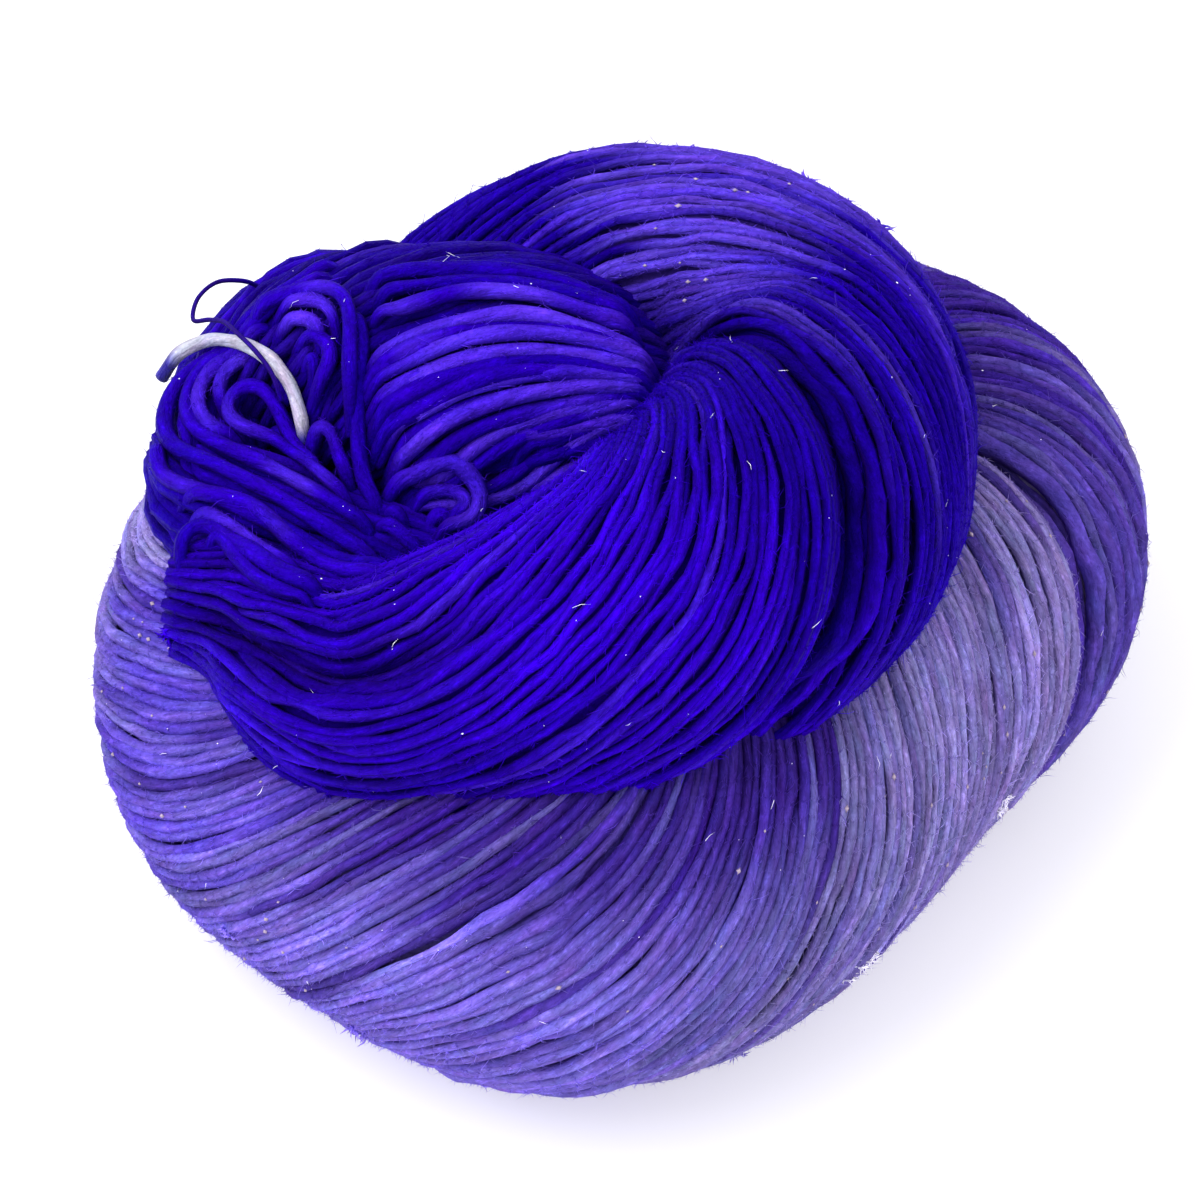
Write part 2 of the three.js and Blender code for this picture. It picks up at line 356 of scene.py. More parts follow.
# %% Tubes and meshes
def build_mesh(name, vertices, rings, caps, maps, dyes):
    """One mesh from arrays: quads and caps index the vertices, maps is a pair of numbers
    for every corner of every face, and dyes a colour for every vertex."""
    corners = np.concatenate([rings.ravel(), caps.ravel()])
    starts = np.concatenate([
        np.arange(len(rings)) * 4,
        rings.size + np.arange(len(caps)) * caps.shape[1],
    ])
    mesh = bpy.data.meshes.new(name)
    mesh.vertices.add(len(vertices))
    mesh.vertices.foreach_set("co", vertices.astype(np.float32).ravel())
    mesh.loops.add(len(corners))
    mesh.loops.foreach_set("vertex_index", corners.astype(np.int32))
    mesh.polygons.add(len(starts))
    mesh.polygons.foreach_set("loop_start", starts.astype(np.int32))
    mesh.polygons.foreach_set("use_smooth", np.ones(len(starts), bool))
    mesh.update(calc_edges=True)
    layer = mesh.uv_layers.new(name="yarn")
    layer.uv.foreach_set("vector", maps.astype(np.float32).ravel())
    colours = mesh.color_attributes.new(name="dye", type="FLOAT_COLOR", domain="POINT")
    colours.data.foreach_set("color", dyes.astype(np.float32).ravel())
    mesh.validate()
    obj = bpy.data.objects.new(name, mesh)
    bpy.context.scene.collection.objects.link(obj)
    return obj


print("meshes are made from arrays")

# %% Tubes
MAP_SHIFT = 61.8  # millimetres between the maps of two yarns, so that no two look alike
# painted shade: these darken each tube's colour at its sides, between the yarns, and where it is
# buried
SIDE_LIGHT = 0.36  # light left at the sides of a dark yarn
PALE_LIGHT = 0.28  # how much more is left at the sides of a pale one
PALE_DYE = (0.03, 0.12)  # red from which a dye counts as pale, and is fully so
HIDDEN_LIGHT = 0.55  # light left where a yarn isn't shown
LIGHT_POWERS = np.array([1.0, 1.0, 0.8, 0.0])  # blue darkens least, and alpha not at all


def tube_map(run, sides):
    """Map of every corner, the rings' first and then the caps': millimetres along the yarn
    and the share of a turn round it. run is yarns x steps."""
    count, steps = run.shape
    run = run + MAP_SHIFT * np.arange(count)[:, None]
    u = np.broadcast_to(run[:, :, None], (count, steps, sides))
    v = np.arange(sides) / sides
    low_u, high_u = u[:, :-1], u[:, 1:]
    low_v = np.broadcast_to(v, low_u.shape)
    high_v = low_v + 1 / sides
    ring_map = np.stack([
        np.stack([low_u, low_v], -1), np.stack([high_u, low_v], -1),
        np.stack([high_u, high_v], -1), np.stack([low_u, high_v], -1),
    ], axis=-2)
    cap_map = np.stack([
        np.concatenate([u[:, 0], u[:, -1, ::-1]]),
        np.broadcast_to(v, (2 * count, sides)),
    ], axis=-1)
    return np.concatenate([ring_map.reshape(-1, 2), cap_map.reshape(-1, 2)])


def tube_dye_and_shade(dyes, shown, around):
    """Colour of every point: the dye with painted shade. A tube is painted darker at its sides,
    less so where it is pale, and darker where it is not shown, as shade falls between yarns."""
    pale = smoothstep(*PALE_DYE, dyes[..., :1])
    least = SIDE_LIGHT + PALE_LIGHT * pale
    light = least + (1 - least) * np.clip(np.cos(around), 0.0, 1.0) ** 1.5
    light = light * (HIDDEN_LIGHT + (1 - HIDDEN_LIGHT) * shown[..., None])
    return (dyes[:, :, None] * light[..., None] ** LIGHT_POWERS).reshape(-1, 4)


def tubes(name, paths, facing, radii, dyes, shown, sides=8):
    """Closed tubes: ring point = path + radius x (cos a x up + sin a x sideways), where
    sideways is square to the path and to facing, and up is square to the path and to
    sideways. paths is yarns x steps x 3, in millimetres."""
    count, steps = paths.shape[:2]
    along = unit(np.gradient(paths, axis=1))
    sideways = unit(np.cross(along, facing))
    up = np.cross(sideways, along)
    around = 2 * np.pi * np.arange(sides) / sides
    rim = up[:, :, None] * np.cos(around)[:, None] + sideways[:, :, None] * np.sin(around)[:, None]
    vertices = paths[:, :, None] + radii[:, :, None, None] * rim
    index = np.arange(count * steps * sides).reshape(count, steps, sides)
    after = np.roll(index, -1, axis=2)
    rings = np.stack([index[:, :-1], index[:, 1:], after[:, 1:], after[:, :-1]], axis=-1)
    caps = np.concatenate([index[:, 0], index[:, -1, ::-1]])
    return build_mesh(
        name, to_metres(vertices.reshape(-1, 3)), rings.reshape(-1, 4), caps,
        tube_map(run_of(paths), sides), tube_dye_and_shade(dyes, shown, around))


print("a tube keeps", SIDE_LIGHT, "of the light at its sides, or more where it is pale")

# %% [markdown]
# ## The dye
# The hank was dyed a stretch at a time, so one colour reaches across all the yarns and
# bleeds into the next: royal blue and ultramarine at the looped end, ink round the upper
# turn's right bend, periwinkle over its back and ink again at the left. The lower turn is
# lavender and slate at the front, grey lavender at the right and violet behind it. Each
# yarn takes up the dye a little differently, and a few stay slate or go purple. Shade is
# painted into the dye where parts of the hank lie on each other: a purple painted shadow
# under the upper turn, and dark painted shade beside the crown and in the creases. One lobe
# of the lower turn's right bend is pale and the next one violet.

# %% The dyes
def linear(*colour):
    """sRGB bytes to the linear colour that shaders use."""
    c = np.array(colour) / 255
    return np.where(c <= 0.04045, c / 12.92, ((c + 0.055) / 1.055) ** 2.4)


STRENGTH = 0.66  # how much of the light the dyed silk keeps
INK = linear(33, 0, 176) * STRENGTH
ROYAL = linear(46, 0, 200) * STRENGTH
ULTRAMARINE = linear(58, 0, 236) * STRENGTH
BRIGHT = linear(100, 56, 255) * STRENGTH
PERIWINKLE = linear(110, 78, 242) * STRENGTH
VIOLET_BLUE = linear(106, 80, 230) * STRENGTH
LAVENDER = linear(150, 130, 254) * STRENGTH
GREY_LAVENDER = linear(168, 153, 232) * STRENGTH
SLATE = linear(126, 116, 206) * STRENGTH
PALE_LAVENDER = linear(172, 160, 234) * STRENGTH
PURPLE = linear(66, 32, 164) * STRENGTH
VIOLET = linear(73, 45, 172) * STRENGTH

# row number along the coil, and the dye there
COIL_DYES = [
    (0.0, ROYAL), (2.2, ROYAL), (3.0, ULTRAMARINE), (3.6, ULTRAMARINE), (4.4, INK), (5.9, INK),
    (6.7, PERIWINKLE), (7.6, PERIWINKLE), (8.0, INK), (9.4, INK), (10.1, PALE_LAVENDER),
    (11.0, PALE_LAVENDER), (11.8, VIOLET_BLUE), (12.8, LAVENDER), (14.0, LAVENDER),
    (14.6, SLATE), (15.5, SLATE), (16.0, GREY_LAVENDER), (17.2, GREY_LAVENDER),
    (17.9, VIOLET), (19.5, VIOLET), (22.0, INK),
]
# light streaks that run on past the border of their dye: phase and width in degrees, rows
STREAKS = [(130, 7, 5.5, 7.2), (196, 6, 5.0, 6.8), (222, 5, 5.2, 6.8)]
print("dyes mixed:", len(COIL_DYES), "places along the coil")

# %% Uneven along a yarn
def wander(rng, run, span, size=1.0):
    """Smooth random numbers along yarns: one random value every span millimetres of run,
    with an S-curve between neighbours. run is yarns x steps."""
    knots = rng.normal(0.0, size, (len(run), int(run.max() / span) + 3))
    place = run / span + rng.random((len(run), 1))
    i = place.astype(int)
    f = place - i
    f = f * f * (3 - 2 * f)
    return np.take_along_axis(knots, i, 1) * (1 - f) + np.take_along_axis(knots, i + 1, 1) * f


def wanders(rng, run, parts):
    """Sum of wanders, for pairs of a span and a size."""
    return sum(wander(rng, run, span, size) for span, size in parts)


def blend(first, second, share):
    """first where share is 0, second where it is 1."""
    return first + (second - first) * share[..., None]


print("halfway between two dyes:", blend(INK, LAVENDER, np.array(0.5)).round(2))

# %% Where the dye differs, and where shade is painted
def turned(t, psi):
    """Degrees round the coil's section, from -180 to 180 and 0 outwards, of a phase."""
    return (np.degrees(psi + coil.turn_at(t)) + 180) % 360 - 180


def shadow_under_turn(t, round_it):
    """Mask of painted shadow: 1 on top of the lower turn's inner side, where the upper turn lies on
    it and shades it, else 0.
    """
    return between(15, 60, 180, 240, round_it % 360) * between(11.8, 13.0, 15.6, 16.2, t)


def shade_by_crown(t, round_it):
    """Mask of painted shade: 1 on the upper turn's inner side at the back, where the crown lies on
    it and shades it, else 0.
    """
    return smoothstep(115, 150, round_it) * between(5.4, 6.2, 8.4, 9.0, t)


def outer_lobe(t, psi):
    """1 on the outer lobe of the lower turn's right bend, which dyed violet, else 0."""
    degrees = np.degrees(psi)
    across = smoothstep(50, 60, degrees) * smoothstep(0, 6, LOBE_EDGE - degrees)
    return across * between(15.2, 16.4, 19.0, 20.0, t)


def pale_lobe(t, psi):
    """1 on the pale lobe right of the front edge, else 0."""
    degrees = (np.degrees(psi) + 120) % 360 - 120
    across = 1 - smoothstep(FRONT_EDGE - 4, FRONT_EDGE + 4, degrees)
    return across * between(14.0, 14.4, 15.7, 16.4, t)


def streak(t, psi, phase, width, first, last):
    """1 along a streak width degrees to each side of its phase, else 0."""
    away = (np.degrees(psi) - phase + 180) % 360 - 180
    return between(first, first + 0.5, last - 0.3, last, t) * smoothstep(
        width, 0.4 * width, np.abs(away))


print("the front lobe meets the pale one at", FRONT_EDGE, "degrees")

# %% Dye and painted shade along the coil
LIGHTER = [(7.0, 0.08), (25.0, 0.12)]  # spans in millimetres and sizes


def table_dye(rows):
    """The table's colour at row numbers along the coil."""
    places = [row[0] for row in COIL_DYES]
    colours = np.array([row[1] for row in COIL_DYES])
    return np.stack([np.interp(rows, places, column) for column in colours.T], axis=-1)


def coil_dye_and_shade(rng, t, run, psi):
    """Dye at row numbers t: the table's colour, with each yarn's borders shifted, then a
    recipe of other dyes and of painted shade, and how much of each covers it. The pale
    stretch over the back begins later on the outer side. Creases get painted shade, and
    every yarn is a little lighter or darker than the next."""
    round_it = turned(t, psi)
    late = 0.4 * smoothstep(100, 45, round_it) * (1 - smoothstep(8.0, 9.0, t))
    shifted = t - late + wander(rng, run, 60.0, 0.2) + rng.normal(0, 0.16, (len(run), 1))
    pale = smoothstep(9.8, 11.0, shifted)
    spared = pale_lobe(t, psi)
    recipe = [(PERIWINKLE, 0.65 * streak(t, psi, *one)) for one in STREAKS]
    recipe += [
        # painted shade: the upper turn goes dark towards ink where the crown lies on it
        (INK * 0.6, 0.85 * shade_by_crown(t, round_it)),
        # painted shadow: purple on the lower turn where the upper turn lies on it
        (PURPLE, 0.9 * shadow_under_turn(t, round_it) * (1 - spared)),
        (PALE_LAVENDER, 0.7 * spared),
        (VIOLET, 0.85 * outer_lobe(t, psi)),
        (SLATE, 0.7 * pale * smoothstep(0.4, 1.5, wander(rng, run, 90.0))),
        (PURPLE, 0.75 * pale * smoothstep(0.7, 1.6, wander(rng, run, 50.0))),
        (BRIGHT, 0.4 * (1 - pale) * smoothstep(0.5, 2.0, wander(rng, run, 45.0))),
        (INK, 0.7 * (1 - pale) * smoothstep(0.6, 1.4, wander(rng, run, 55.0))),
    ]
    base = table_dye(shifted)
    for dye, share in recipe:
        base = blend(base, dye, share)
    # painted shade: creases are darkened, the more where the dye is dark
    base = base * (coil.crease(t, psi) ** (1.6 - 1.1 * pale))[..., None]
    light = np.exp(wanders(rng, run, LIGHTER) + rng.normal(0, 0.08, (len(run), 1)))
    return np.concatenate([base * light[..., None], np.ones(base.shape[:-1] + (1,))], axis=-1)


print("dye at the front of the lower turn:", table_dye(13.5).round(2))

# %% [markdown]
# ## The yarns of a bundle
# Yarn has one thickness, so where the twist runs slantwise there is room for fewer yarns
# at the surface, and the others dive between their neighbours. Each yarn therefore has a
# share, 1 at the surface and 0 buried, and the yarns stand round the bundle in proportion
# to their shares. Every yarn wanders a little and thickens into slubs, and its radius is
# half the room it has, so that the yarns lie against each other.

# %% Room for the yarns
BURIED = 1.7  # millimetres that a yarn sinks where it dives
SOFTNESS = 0.14  # width of the step from buried to surface
GOLDEN = 0.6180339887  # strews the yarns that dive evenly among the others
NUDGE = 0.02  # rows, or radians, to a neighbouring point


def room_for(bundle, t):
    """Millimetres square to the yarns, for each radian round the bundle."""
    psi = np.linspace(0, 2 * np.pi, 25)[:-1, None]
    here, _ = bundle.at(t, psi)
    beside, _ = bundle.at(t, psi + NUDGE)
    ahead, _ = bundle.at(t + NUDGE, psi)
    across = square_to(unit(ahead - here), beside - here)
    return np.linalg.norm(across, axis=-1).mean(axis=0) / NUDGE


def shares_of(bundle, t, count, pitch):
    """Each yarn's share of the surface at row numbers t, for yarns pitch apart; its phase,
    which is the running total of the shares, as a part of a full turn; and the phase
    between two yarns at the surface."""
    room = 2 * np.pi * room_for(bundle, t) / pitch / count
    order = (np.arange(count)[:, None] * GOLDEN) % 1.0
    shares = smoothstep(0.0, SOFTNESS, room * (1 + SOFTNESS) - order)
    total = np.cumsum(shares, axis=0)
    return shares, 2 * np.pi * (total - shares / 2) / total[-1], 2 * np.pi / total[-1]


room = 2 * np.pi * room_for(coil, np.array([[13.5]]))[0]
print("room square to the yarns, round the front of the lower turn:", round(room), "mm")

# %% Yarns laid on a bundle
RADII = (0.55, 1.25)  # least and greatest radius before a yarn is pressed, millimetres
SUNK = 0.85  # share of its radius that a yarn's middle lies under the surface
# spans in millimetres and sizes of each yarn's slubs, and of its wandering in radii
SLUBS = [(3.0, 0.08), (12.0, 0.09)]
ASIDE = [(4.5, 0.13), (9.0, 0.17), (26.0, 0.15)]
RISE = [(5.0, 0.2), (18.0, 0.22), (60.0, 0.22)]


def lay_yarns(rng, bundle, t, psi, gap, shares, depth, loose, full):
    """Paths, facings, radii and runs of yarns at phases psi, yarns x steps. loose is how
    much of its wandering a yarn keeps. full is how far it fills its room: above 1 it
    presses into its neighbours."""
    rough, _ = bundle.at(t, psi)
    run = run_of(rough)
    beside, _ = bundle.at(t, psi + gap)
    across = square_to(unit(np.gradient(rough, axis=1)), beside - rough)
    radii = np.clip(np.linalg.norm(across, axis=-1) / 2 * np.sqrt(shares), *RADII)
    slub = 1 + wanders(rng, run, SLUBS)
    aside = wanders(rng, run, ASIDE)
    rise = wanders(rng, run, RISE)
    under = radii * SUNK + depth + BURIED * (1 - shares) - loose * rise * radii
    thick = radii * slub * full
    paths, facing = bundle.at(t, psi + aside * gap * loose, under, thick)
    return paths, facing, thick, run


def steps_of(bundle, first, last, step):
    """Row numbers that the mean yarn of a bundle passes step millimetres apart."""
    t = np.linspace(first, last, 1200)
    psi = 2 * np.pi * np.arange(8)[:, None] / 8
    points, _ = bundle.at(t[None], psi)
    run = run_of(points).mean(axis=0)
    return np.interp(np.linspace(0, run[-1], int(run[-1] / step)), run, t)[None, :]


def lay_bundle(rng, bundle, count, pitch, rows, dye_row=None, depth=0.0, light=1.0, step=1.8):
    """Paths, facings, radii, dyes and shares of a bundle's yarns between two rows. pitch is
    pairs of a row and the millimetres between yarns there, and step the millimetres between
    rings; dye_row takes all the dye from one row of the coil. The lower turn, from row 10
    on, is packed closer and lies stiller."""
    t = steps_of(bundle, *rows, step)
    apart = np.interp(t[0], *zip(*pitch))
    shares, psi, gap = shares_of(bundle, t, count, apart)
    lower = smoothstep(10.0, 12.0, t)
    paths, facing, radii, run = lay_yarns(
        rng, bundle, t, psi, gap, shares, depth, 1 - 0.35 * lower, 1.06 + 0.2 * lower)
    dye_rows = np.broadcast_to(t if dye_row is None else dye_row, run.shape)
    dyes = coil_dye_and_shade(rng, dye_rows, run, psi)
    # painted shade: light darkens the dye of a bundle that lies under others
    dyes[..., :3] *= light
    return paths, facing, radii, dyes, shares


print("rings along the coil:", steps_of(coil, 0.12, 21.9, 1.8).size)

# %% [markdown]
# ## Laying the coil
# Ninety yarns make the coil. They are laid closest together at the front of the lower turn,
# and widest apart round its right bend and over its back. Where there isn't room for all of
# them at the surface, some dive. They are made as four pieces, so that none has too many
# triangles.

# %% Lay the coil
COIL_YARNS = 90
COIL_PITCH = [
    (0, 1.4), (3, 1.3), (4.5, 1.05), (6.5, 1.05), (8, 1.3), (10, 1.3), (12, 0.95), (14, 0.95),
    (16, 1.1), (17.5, 1.5), (20, 1.5),
]
PARTS = 4

rng = np.random.default_rng(11)
coil_layout = lay_bundle(rng, coil, COIL_YARNS, COIL_PITCH, (0.12, 21.9))
coil_pieces = []
for number in range(PARTS):
    part = slice(number * COIL_YARNS // PARTS, (number + 1) * COIL_YARNS // PARTS)
    coil_pieces.append(tubes(
        f"coil_yarns_{number + 1}", *(layer[part] for layer in coil_layout), sides=5))
at_surface = coil_layout[4].sum(axis=0)
print("mean thickness of a coil yarn:", round(2 * coil_layout[2].mean(), 2), "mm")
print("yarns at the surface: from", round(at_surface.min()), "to", round(at_surface.max()))

# %% [markdown]
# ## The crown, the fold and the bights
# The other leg of the looped end lies across the top. Its yarns run in from the middle of
# the coil and turn over at the left. A pad of yarns fills the groove in front of it, and the
# tail fills the middle of the coil from below.

# %% Lay the smaller bundles
# light is painted shade: it darkens the crown, fold, bights and pad, which lie under the single
# yarns
SMALL_BUNDLES = {
    "crown_yarns": dict(bundle=crown, count=48, pitch=[(0, 1.6), (6, 1.7)], rows=(0.1, 5.9),
                        dye_row=4.5, depth=0.5, light=0.65, step=2.4),
    "fold_yarns": dict(bundle=fold, count=28, pitch=[(0, 1.6)], rows=(0.1, 3.95),
                       dye_row=4.5, depth=0.8, light=0.8, step=2.4),
    "bight_yarns": dict(bundle=bights, count=28, pitch=[(0, 1.6)], rows=(0.1, 4.9),
                        dye_row=4.5, depth=0.8, light=0.8, step=2.4),
    "pad_yarns": dict(bundle=pad, count=20, pitch=[(0, 1.8)], rows=(0.1, 3.95),
                      dye_row=2.0, depth=0.2, light=0.8, step=2.4),
    "tail_yarns": dict(bundle=tail, count=40, pitch=[(0, 2.0)], rows=(0.1, 2.9), dye_row=9.0),
}
PLAIN = ("pad_yarns", "tail_yarns")  # these hardly show, so their tubes have fewer sides

small = {name: lay_bundle(rng, **facts) for name, facts in SMALL_BUNDLES.items()}
small_pieces = [
    tubes(name, *layout, sides=6 if name in PLAIN else 8) for name, layout in small.items()]
print("smaller bundles laid:", len(small_pieces))

# %% [markdown]
# ## Yarns laid one by one
# At the looped end the yarns turn back in open loops, and over the crown they fan out from
# where the coil pinches them. No bundle has that form. So these yarns are drawn in plan, as
# arcs with legs and as two fans, and then draped: each takes its height from the bundles
# under it, bridges their dips, dives at both ends and gives way under the tie.

# %% Plans of the single yarns
# Dye from 0, ink, to 1, bright; millimetres off the bundles; and the plan, made of points
# (x, y) and arcs (middle x, middle y, radius, first angle, last angle).
SINGLE = [
    # bights round the left end, from the back to the front
    (0.3, 0.4, [(-33, 21), (-48, 4, 8.5, 115, 240), (-27, -19)]),
    (0.45, 0.5, [(-33, 18), (-47, 5, 7, 115, 245), (-28, -15)]),
    (0.5, 0.6, [(-41, 14), (-47, 5, 5.5, 110, 265), (-44, 0)]),
    (0.75, 0.9, [(-42, 11), (-46, 6, 4, 110, 235), (-47, 1)]),
    (0.35, 0.3, [(-57, 4), (-52, -2, 5, 190, 250), (-24, -23)]),
    (0.5, 0.5, [(-56, -7), (-44, -11), (-36, -19), (-24, -25)]),
    # the ring in the middle of them, and the small caps beside it
    (0.5, 1.4, [(-35, -9), (-39, -3), (-42, 2), (-46, 3.5, 3, 75, 245), (-43, 0), (-31, -13)]),
    (0.3, 0.3, [(-45, 4), (-42, 1), (-37, -5)]),
    (0.7, 1.4, [(-39, -4), (-37, -2, 1.8, 180, 0), (-34, -6), (-31, -9)]),
    (0.4, 0.8, [(-36, -1), (-34, -4), (-31, -9)]),
    # arches behind the tie
    (0.35, 1.8, [(-48, 12), (-43, 14), (-38, 8, 5, 80, 0), (-33, 1), (-33, -4)]),
    (0.9, 1.3, [(-45, 13), (-39, 8, 4, 100, 10), (-34, 4)]),
    (0.85, 0.9, [(-45, 11), (-40, 7, 3.5, 100, 10), (-36, 3)]),
    (0.5, 1.2, [(-42, 9), (-38, 4, 3, 90, -90), (-40, 2)]),
    (0.45, 0.9, [(-41, 6), (-38, 4, 1.5, 90, -90), (-40, 3)]),
    (0.1, 0.2, [(-34, 12), (-31, 6), (-32, 0), (-32, -6), (-28, -13)]),
    # curls at the front left
    (0.6, 0.6, [(-54, -9), (-47, -13), (-41, -19), (-36, -23)]),
    (0.3, 1.1, [(-53, -19), (-51, -14, 2.2, 180, 40), (-45, -17), (-41, -21), (-33, -25)]),
    (0.2, 0.8, [(-51, -17), (-49, -15, 1.5, 150, 30), (-46, -18), (-42, -23), (-34, -27)]),
    # the curl at the front of the crown
    (0.75, 2.8, [(-31, -9), (-21, -9, 4.2, 120, -100), (-25, -14)]),
    (0.6, 2.2, [(-28, -10), (-21, -9, 2.4, 100, -100), (-24, -12)]),
    (0.5, 1.0, [(-26, -12), (-22, -10, 1, 90, -80), (-24, -12)]),
    (0.45, 0.9, [(-31, -9), (-28, -10), (-25, -14)]),
    (0.4, 0.7, [(-32, -11), (-27, -14), (-22, -19)]),
    # the back of the crown, with one tip that hooks back
    (0.1, 0.8, [(4, 12), (-2, 12), (-10, 13), (-21, 13.5), (-27, 14), (-34, 12)]),
    (0.15, 0.8, [(3, 11), (-11, 11.5), (-21, 11.5), (-28, 11), (-33, 10)]),
    (0.7, 1.1, [(4, 9), (-3, 9), (-11, 10), (-20, 10), (-27, 7), (-30, 7), (-32, 10)]),
]
print("yarns drawn one by one:", len(SINGLE))

# %% Fans over the crown
# Four points along the edge where the yarns start and four along the edge where they end,
# and how far the first and the last yarn bow backwards on the way.
FANS = [
    {"count": 18, "start": [(5, 6), (6, 4.5), (6, 3.5), (5, 2)],
     "end": [(-33, 1.5), (-33, -2), (-31.5, -5.5), (-29, -9.5)], "bow": (3.5, -1.5)},
    {"count": 13, "start": [(5, 2), (3, -1), (-1, -4), (-5, -8)],
     "end": [(-16, -4), (-15, -6), (-15.5, -8.5), (-17, -11.5)], "bow": (-1.0, -1.0)},
]
RINGS = 64
ARC_POINTS = 13
UNEVEN = 0.35  # millimetres that a fan's yarns start and end off its edges
FAN_SEED = 5


def evenly(points, count):
    """count points evenly spaced along a polyline."""
    run = run_of(points)
    even = np.linspace(0, run[-1], count)
    return np.stack([np.interp(even, run, column) for column in np.transpose(points)], -1)


def drawn(plan):
    """Points of a plan, its arcs opened up."""
    points = []
    for part in plan:
        if len(part) == 2:
            points.append(part)
            continue
        x, y, radius, first, last = part
        angle = np.radians(np.linspace(first, last, ARC_POINTS))
        points.extend(np.column_stack([x + radius * np.cos(angle), y + radius * np.sin(angle)]))
    return evenly(np.array(points, float), RINGS)


def fan(rng, count, start, end, bow):
    """Plans of a fan's yarns: bowed lines between two edges, a little uneven."""
    share = np.linspace(0, 1, count)
    first, last = (
        spline(edge, share * (len(edge) - 1)) + rng.normal(0, UNEVEN, (count, 2))
        for edge in (start, end))
    middle = (first + last) / 2
    middle[:, 1] += 2 * (bow[0] + (bow[1] - bow[0]) * share)
    s = np.linspace(0, 1, RINGS)[:, None]
    curves = [(1 - s) ** 2 * a + 2 * s * (1 - s) * b + s * s * c
              for a, b, c in zip(first, middle, last)]
    return np.array([evenly(curve, RINGS) for curve in curves])


drawn_plans = [drawn(plan) for _, _, plan in SINGLE]
fan_plans = [fan(np.random.default_rng(FAN_SEED), **facts) for facts in FANS]
plans = np.concatenate([drawn_plans, *fan_plans])
print("single yarns:", len(plans))

# %% [markdown]
# ## Draping
# A loop has to stay where it is drawn, so the yarns are draped by a formula and not by a
# simulation. A height map of the bundles says how high the ground is under each point. A
# yarn is stiff, so it takes the ground's height averaged along itself, or the height right
# under it where that is higher.

# %% Drape the single yarns
REACH = 75  # half the side of the height map, millimetres
STIFFNESS = 2.0  # millimetres over which a yarn rounds a corner
BRIDGE = 3.0  # millimetres over which it bridges a dip
DIVE = 5.0  # millimetres that its ends dive, and over which they do
GIVE = 1.6  # millimetres that it gives way under the tie
GIVE_WIDTH = 2.4  # millimetres to each side of the tie over which it does


def smoothed(run, values, span):
    """values along each yarn, averaged over a bell span millimetres wide."""
    bell = np.exp(-(((run[:, :, None] - run[:, None]) / span) ** 2) / 2)
    return bell @ values / bell.sum(-1, keepdims=True)


def heights(stretches):
    """Highest point of some stretches of bundles over each square millimetre."""
    grid = np.zeros((2 * REACH, 2 * REACH))
    psi = 2 * np.pi * np.arange(300)[None, :] / 300
    for bundle, last in stretches:
        points, _ = bundle.at(np.linspace(0, last, 700)[:, None], psi)
        cells = np.rint(points[..., :2]).astype(int) + REACH
        np.maximum.at(grid, (cells[..., 0], cells[..., 1]), points[..., 2])
    return grid


def height_under(flat, ground):
    """Height of the ground under points in plan, from its four nearest cells."""
    cells = flat + REACH
    i = cells.astype(int)
    f = cells - i
    return sum(
        ground[i[..., 0] + a, i[..., 1] + b]
        * np.where(a, f[..., 0], 1 - f[..., 0]) * np.where(b, f[..., 1], 1 - f[..., 1])
        for a in (0, 1) for b in (0, 1))


def drape(plans, lift, ground):
    """Paths and runs of the planned yarns, laid over the ground."""
    run = run_of(plans)
    flat = smoothed(run, plans, STIFFNESS)
    under = height_under(flat, ground)[..., None]
    mean = smoothed(run, under, BRIDGE)
    height = smoothed(run, np.maximum(under, mean), STIFFNESS)[..., 0]
    ends = 2 - smoothstep(0, DIVE, run) - smoothstep(0, DIVE, run[:, -1:] - run)
    tie = spline(TIE_ROUTE, np.linspace(0, len(TIE_ROUTE) - 1, 60))[:, :2]
    away = np.linalg.norm(flat[:, :, None] - tie, axis=-1).min(axis=-1)
    height += lift - DIVE * ends - GIVE * np.exp(-((away / GIVE_WIDTH) ** 2))
    return np.concatenate([flat, height[..., None]], axis=-1), run


looped_end = [(crown, crown.last), (fold, fold.last), (bights, bights.last), (pad, pad.last)]
ground = heights([*looped_end, (coil, 2.6)])
print("highest ground:", round(ground.max(), 1), "mm")

# %% The single yarns' dye and thickness
LEAN = np.array([0.0, -0.5, 1.0])  # the way that their upper sides face


def single_yarns(rng, plans):
    """Paths, facings, radii, dyes and shown shares of the single yarns. Each is thinner at its
    ends, where it dives, and painted darker there as shade."""
    fans = len(plans) - len(SINGLE)
    share = np.concatenate([[row[0] for row in SINGLE], rng.uniform(0.25, 0.92, fans)])[:, None]
    lift = np.concatenate([[row[1] for row in SINGLE], rng.uniform(0.2, 0.9, fans)])[:, None]
    paths, run = drape(plans, lift, ground)
    shake = np.stack([wander(rng, run, 9.0, 0.16) for _ in range(3)], axis=-1)
    ends = smoothstep(0, 6, run) * smoothstep(0, 7, run[:, -1:] - run)
    slub = 1 + wanders(rng, run, [(4.0, 0.08), (10.0, 0.09)])
    # painted shade: each yarn's dye goes towards ink at its ends, where it dives
    share = np.clip((share + wander(rng, run, 8.0, 0.13)) * (0.2 + 0.8 * ends), 0, 1)
    dark = blend(np.broadcast_to(INK, share.shape + (3,)), ROYAL, np.clip(2 * share, 0, 1))
    base = blend(dark, BRIGHT, np.clip(2 * share - 1, 0, 1))
    dyes = np.concatenate([base, np.ones(share.shape + (1,))], axis=-1)
    facing = np.broadcast_to(unit(LEAN), paths.shape)
    return paths + shake, facing, slub * (0.75 + 0.27 * ends), dyes, 0.2 + 0.8 * ends


